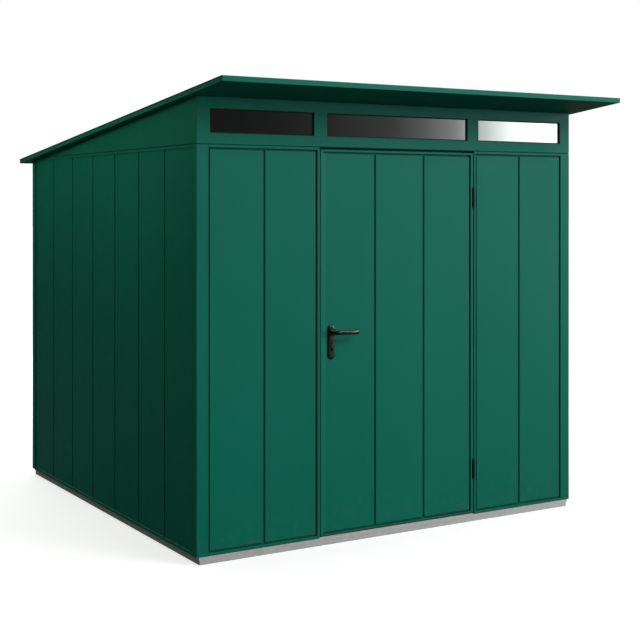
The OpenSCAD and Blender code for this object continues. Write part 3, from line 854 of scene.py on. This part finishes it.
# a folded lip on the lock-side post that covers most of the gap beside the leaf
p = Piece()
lip_x = LEAF[0].x - 0.0050
lip = [(-0.0002, 0.0160), (0.0024, 0.0160), (0.0027, 0.0150), (0.0027, 0.0016), (0.0021, 0.0006), (0.0010, 0.0003), (-0.0002, 0.0003)]
p.loops([[(lip_x + u, YF + v, z) for u, v in lip] for z in (LEAF[0].z + 0.001, LEAF[1].z - 0.001)])
p.done("door_gap_lip", GREEN, "wall_paint", "shed", flat=True)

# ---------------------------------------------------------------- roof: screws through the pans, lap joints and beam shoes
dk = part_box("roof_deck")
nrib = 7
tz = -0.010
p = Piece()
normal = Vector((0, SLOPE, 1)).normalized()
for row, y in enumerate((YF + 0.015, (YF + YB) / 2, YB - 0.014)):
    for i in range(nrib):
        xc = -XR + (i + 0.5) * 2 * XR / nrib
        for dx_ in (-0.052, 0.052):
            p.hex_screw((xc + dx_, y, roof_top(y) + tz), normal, 0.0095, spin=0.4 + 0.37 * i + row)
p.done("roof_screws", ZINC, "galvanised", "shed")
p = Piece()
for i in range(nrib - 1):
    xc = -XR + (i + 1) * 2 * XR / nrib
    # a low stiffening bead in the middle of each pan
    y_a, y_b = YR0 + 0.14, YR1 - 0.06
    sec = [(-0.016, -0.001), (-0.012, 0.0018), (-0.005, 0.0030), (0.005, 0.0030), (0.012, 0.0018), (0.016, -0.001)]
    p.loops([[(xc + u, y_a, roof_top(y_a) + tz + v * 0.05 - 0.0005) for u, v in sec], [(xc + u, y_a + 0.03, roof_top(y_a + 0.03) + tz + v) for u, v in sec],
             [(xc + u, y_b - 0.03, roof_top(y_b - 0.03) + tz + v) for u, v in sec], [(xc + u, y_b, roof_top(y_b) + tz + v * 0.05 - 0.0005) for u, v in sec]])
p.done("roof_pan_beads", ROOF_GREEN, "roof_paint", "shed")
# blind rivets on top of the edge trims
p = Piece()
for s in (-1, 1):
    for y in (YR0 + 0.10, YR0 + 0.95, YR0 + 1.85, YR1 - 0.10):
        p.pan_screw((s * (XR - 0.0125), y, roof_top(y)), normal, 0.0040, 0.0018)
for k in range(7):
    x = -XR + 0.11 + k * (2 * XR - 0.22) / 6
    p.pan_screw((x, YR0 + 0.0135, roof_top(YR0 + 0.0135)), normal, 0.0040, 0.0018)
p.done("roof_trim_rivets", ROOF_GREEN, "roof_paint", "shed")
# shoes that carry the roof beams
p = Piece()
q = Piece()
for side in ("left", "right"):
    lo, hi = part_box("roof_beam_" + side)
    for yy, s in ((lo.y, 1), (hi.y, -1)):
        zt_ = roof_under(yy + s * 0.03) - 0.0004
        for sx, xx in ((-1, lo.x), (1, hi.x)):
            x0, x1 = sorted((xx, xx + sx * 0.0022))
            p.block((x0, min(yy, yy + s * 0.055), zt_ - 0.062), (x1, max(yy, yy + s * 0.055), zt_ - 0.006))
            x0, x1 = sorted((xx, xx + sx * 0.034))
            p.block((x0, min(yy, yy + s * 0.0022), zt_ - 0.062), (x1, max(yy, yy + s * 0.0022), zt_ - 0.008))
            q.pan_screw((xx + sx * 0.0022, yy + s * 0.034, zt_ - 0.022), (sx, 0, 0), 0.0048, 0.0024)
            q.pan_screw((xx + sx * 0.0022, yy + s * 0.034, zt_ - 0.044), (sx, 0, 0), 0.0048, 0.0024)
            q.pan_screw((xx + sx * 0.022, yy + s * 0.0022, zt_ - 0.034), (0, s, 0), 0.0048, 0.0024)
p.done("beam_shoes", ZINC, "galvanised", "shed", bevel=0.0006)
q.done("beam_shoe_screws", STEEL, "lock_steel", "shed")
# ceiling: the laps between the roof sheets, seen from inside
p = Piece()
for i in range(1, nrib):
    x = -XR + (i + 0.5) * 2 * XR / nrib - 0.5 * 2 * XR / nrib
    if abs(abs(x) - 0.4) < 0.045 or abs(x) > HW - 0.06:
        continue
    y_a, y_b = YF + 0.032, YB - WT - 0.002
    sec = [(-0.014, 0.0005), (-0.011, -0.0035), (-0.006, -0.0052), (0.006, -0.0052), (0.011, -0.0035), (0.014, 0.0005)]
    p.loops([[(x + u, y, roof_under(y) + v) for u, v in sec] for y in (y_a, y_b)])
p.done("ceiling_laps", ROOF_GREEN, "roof_paint", "shed", bevel=0.0005)


# ---------------------------------------------------------------- stage and light
me = bpy.data.meshes.new("studio_floor")
me.from_pydata([(-80, -80, 0), (80, -80, 0), (80, 80, 0), (-80, 80, 0)], [], [(0, 1, 2, 3)])
floor = bpy.data.objects.new("studio_floor", me)
scene.collection.objects.link(floor)
m = Mat("studio_floor")
m.link(m.ramp(m.noise(2, 3, 0.5), [(0.3, grey(0.52)), (0.7, grey(0.54))]), m.b.inputs["Base Color"])
m.b.inputs["Roughness"].default_value = 0.9
m.b.inputs["Specular IOR Level"].default_value = 0.0
m.b.inputs["Emission Color"].default_value = (1, 1, 1, 1)
sep = m.node("ShaderNodeVectorMath", operation="LENGTH")
m.link(m.tc.outputs["Object"], sep.inputs[0])
m.link(m.range(sep.outputs["Value"], 2.0, 7.0, 0.64, 1.0), m.b.inputs["Emission Strength"])
dark = m.node("ShaderNodeBsdfPrincipled")
dark.inputs["Base Color"].default_value = grey(0.10)
dark.inputs["Roughness"].default_value = 0.9
dark.inputs["Specular IOR Level"].default_value = 0.0
dark.inputs["Emission Color"].default_value = (1, 1, 1, 1)
lpath = m.node("ShaderNodeLightPath")
pick = m.node("ShaderNodeMixShader")
m.link(m.math("MULTIPLY", lpath.outputs["Is Glossy Ray"], 0.02), dark.inputs["Emission Strength"])
m.link(lpath.outputs["Is Camera Ray"], pick.inputs[0])
m.link(dark.outputs[0], pick.inputs[1])
m.link(m.b.outputs[0], pick.inputs[2])
m.link(pick.outputs[0], m.out.inputs[0])
floor.data.materials.append(m.m)

world = bpy.data.worlds.new("studio")
scene.world = world
world.use_nodes = True
wt = world.node_tree
for nd in list(wt.nodes):
    wt.nodes.remove(nd)


def wnode(kind, **kw):
    n = wt.nodes.new(kind)
    for k, v in kw.items():
        setattr(n, k, v)
    return n


def wmath(op, a, b):
    n = wnode("ShaderNodeMath", operation=op)
    for i, v in enumerate((a, b)):
        if isinstance(v, (int, float)):
            n.inputs[i].default_value = v
        else:
            wt.links.new(v, n.inputs[i])
    return n.outputs[0]


def wramp(fac, stops):
    n = wnode("ShaderNodeValToRGB")
    cr = n.color_ramp
    cr.elements[0].position, cr.elements[0].color = stops[0][0], grey(stops[0][1])
    cr.elements[1].position, cr.elements[1].color = stops[-1][0], grey(stops[-1][1])
    for p, v in stops[1:-1]:
        e = cr.elements.new(p)
        e.color = grey(v)
    wt.links.new(fac, n.inputs[0])
    return n.outputs[0]


wo = wnode("ShaderNodeOutputWorld")
lp = wnode("ShaderNodeLightPath")
tc = wnode("ShaderNodeTexCoord")
sx = wnode("ShaderNodeSeparateXYZ")
wt.links.new(tc.outputs["Generated"], sx.inputs[0])
az = wmath("ARCTAN2", sx.outputs["X"], wmath("MULTIPLY", sx.outputs["Y"], -1))   # bearing from -Y towards +X
az = wmath("ADD", wmath("MULTIPLY", az, 1 / (2 * math.pi)), 0.5)


def bear(deg):
    return (deg + 180) / 360


BOX_L = 14.0      # radiance of the tall softbox to the right of the front
side = wramp(az, [(0, 0), (bear(24), 0), (bear(29), 0.001), (bear(32.7), 0.008), (bear(35.4), 0.02), (bear(37.7), 0.076), (bear(39.2), 0.28),
                  (bear(40.6), 0.62), (bear(42.5), 1.0), (bear(60), 1.0), (bear(66), 0.0), (1, 0)])
up = wmath("ADD", wmath("MULTIPLY", sx.outputs["Z"], 0.5), 0.5)
band = wramp(up, [(0, 0), (0.49, 0), (0.5, 1), (0.60, 1), (0.64, 0), (1, 0)])
dome = wramp(up, [(0, 0.02), (0.5, 0.035), (0.62, 0.08), (0.72, 0.30), (0.85, 0.42), (1, 0.42)])
lit = wmath("ADD", wmath("MULTIPLY", wmath("MULTIPLY", side, band), BOX_L), dome)
b1 = wnode("ShaderNodeBackground")
wt.links.new(lit, b1.inputs[0])
b1.inputs[1].default_value = 1.0
b2 = wnode("ShaderNodeBackground")
b2.inputs[0].default_value = (1, 1, 1, 1)
b2.inputs[1].default_value = 1.0
mx = wnode("ShaderNodeMixShader")
wt.links.new(lp.outputs["Is Camera Ray"], mx.inputs[0])
wt.links.new(b1.outputs[0], mx.inputs[1])
wt.links.new(b2.outputs[0], mx.inputs[2])
wt.links.new(mx.outputs[0], wo.inputs[0])


def area(name, loc, target, size, power):
    ld = bpy.data.lights.new(name, "AREA")
    ld.shape = "RECTANGLE"
    ld.size, ld.size_y = size
    ld.energy = power
    o = bpy.data.objects.new(name, ld)
    scene.collection.objects.link(o)
    o.location = loc
    o.rotation_euler = (Vector(target) - Vector(loc)).to_track_quat("-Z", "Y").to_euler()
    return o


area("key", (2.2, YF - 4.5, 4.9), (0.3, YF, 1.3), (2.6, 2.0), 212)
low = area("front_low", (0.2, YF - 6.5, 1.9), (0, YF, 1.2), (4.5, 2.4), 60)
low.visible_glossy = False
left = area("fill_left", (-3.4, 0.4, 0.55), (-HW, 0.4, 0.5), (4.0, 0.6), 3)
gable_left = area("gable_left", (-2.1, 0.4, 2.4), (-HW, 0.4, 1.9), (3.4, 0.5), 10.8)
for o in (left, gable_left):
    o.visible_glossy = False
    o.data.color = (0.85, 1.0, 0.74)
area("fill_right", (5.2, 0.6, 4.6), (HW, 0, 1.2), (2.5, 4.0), 190)
area("fill_back", (0.0, YB + 5.2, 4.6), (0, YB, 1.2), (4.0, 2.5), 230)
area("top", (0, 0, 8.0), (0, 0, 0), (5, 5), 90)
